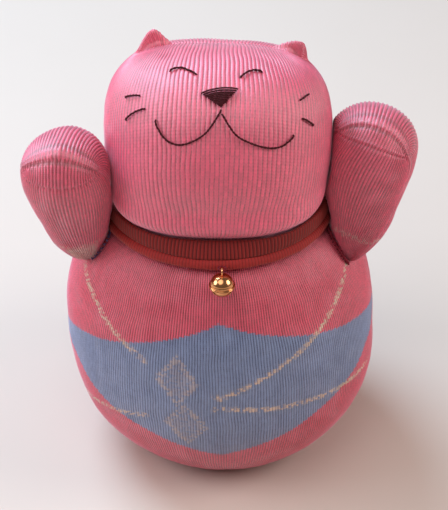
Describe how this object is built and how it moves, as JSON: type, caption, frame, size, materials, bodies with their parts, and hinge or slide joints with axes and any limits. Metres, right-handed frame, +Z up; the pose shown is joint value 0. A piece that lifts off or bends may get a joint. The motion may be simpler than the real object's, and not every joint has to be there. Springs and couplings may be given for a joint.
{
  "type": "beckoning cat figurine",
  "caption": "Plump standing cat doll sewn from knitted fabric, with raised stuffed paws, stitched face, collar and jingle bell, used as a table ornament.",
  "frame": {"origin": "middle of the flat bottom that the doll stands on", "axes": "+Z up along the doll's height, -Y the way the face looks, +X to the viewer's right"},
  "size_m": [0.1639, 0.133, 0.1955],
  "materials": {
    "argyle_knit": "fine rib knit, pink with a blue diamond and gold lines",
    "pink_knit": "rib knit, pink",
    "wadding": "polyester fibre stuffing",
    "red_knit": "rolled knit edge, red",
    "dark_red_rib": "ribbed knit band, dark red",
    "brown_thread": "embroidery thread, dark brown",
    "pink_thread": "sewing thread, pink",
    "gold_plate": "polished gold plate",
    "steel": "bare steel"
  },
  "bodies": {
    "body": {"body_skin": "argyle_knit", "body_stuffing": "wadding", "neck_tie_thread": "pink_thread", "collar_lower_roll": "red_knit", "collar_upper_band": "dark_red_rib"},
    "head": {"head_skin": "pink_knit", "head_stuffing": "wadding", "nose_embroidery": "brown_thread", "eye_thread_left": "brown_thread", "eye_thread_right": "brown_thread", "mouth_thread_left": "brown_thread", "mouth_thread_right": "brown_thread", "whisker_thread_left_upper": "brown_thread", "whisker_thread_left_lower": "brown_thread", "whisker_thread_right_upper": "brown_thread", "whisker_thread_right_lower": "brown_thread"},
    "arm_left": {"arm_left_skin": "pink_knit", "arm_left_stuffing": "wadding", "arm_left_sewing_thread": "pink_thread"},
    "arm_right": {"arm_right_skin": "pink_knit", "arm_right_stuffing": "wadding", "arm_right_sewing_thread": "pink_thread"},
    "bell_hanger": {"bell_hanging_thread": "pink_thread"},
    "bell": {"bell_upper_shell": "gold_plate", "bell_lower_shell": "gold_plate", "bell_loop": "gold_plate"},
    "pellet": {"bell_pellet": "steel"}
  },
  "joints": [
    {"name": "head_turn", "type": "hinge", "parent": "body", "child": "head", "pos_m": [-0.0028, -0.001, 0.119], "axis": [0, 0, 1], "range_deg": [-5, 5], "stiffness_Nm_per_rad": 0.05},
    {"name": "arm_left_swing", "type": "hinge", "parent": "body", "child": "arm_left", "pos_m": [-0.0575, -0.0235, 0.0984], "axis": [1, 0, 0], "range_deg": [0, 12], "stiffness_Nm_per_rad": 0.15},
    {"name": "arm_right_swing", "type": "hinge", "parent": "body", "child": "arm_right", "pos_m": [0.0534, -0.023, 0.0979], "axis": [1, 0, 0], "range_deg": [0, 12], "stiffness_Nm_per_rad": 0.15},
    {"name": "bell_sway", "type": "hinge", "parent": "body", "child": "bell_hanger", "pos_m": [-0.0009, -0.0505, 0.1214], "axis": [0, 1, 0], "range_deg": [-25, 25]},
    {"name": "bell_swing", "type": "hinge", "parent": "bell_hanger", "child": "bell", "pos_m": [-0.0009, -0.0576, 0.1248], "axis": [-1, 0, 0], "range_deg": [0, 60]},
    {"name": "pellet_rattle", "type": "slide", "parent": "bell", "child": "pellet", "axis": [0, 0, 1], "range_m": [0, 0.005]}
  ]
}
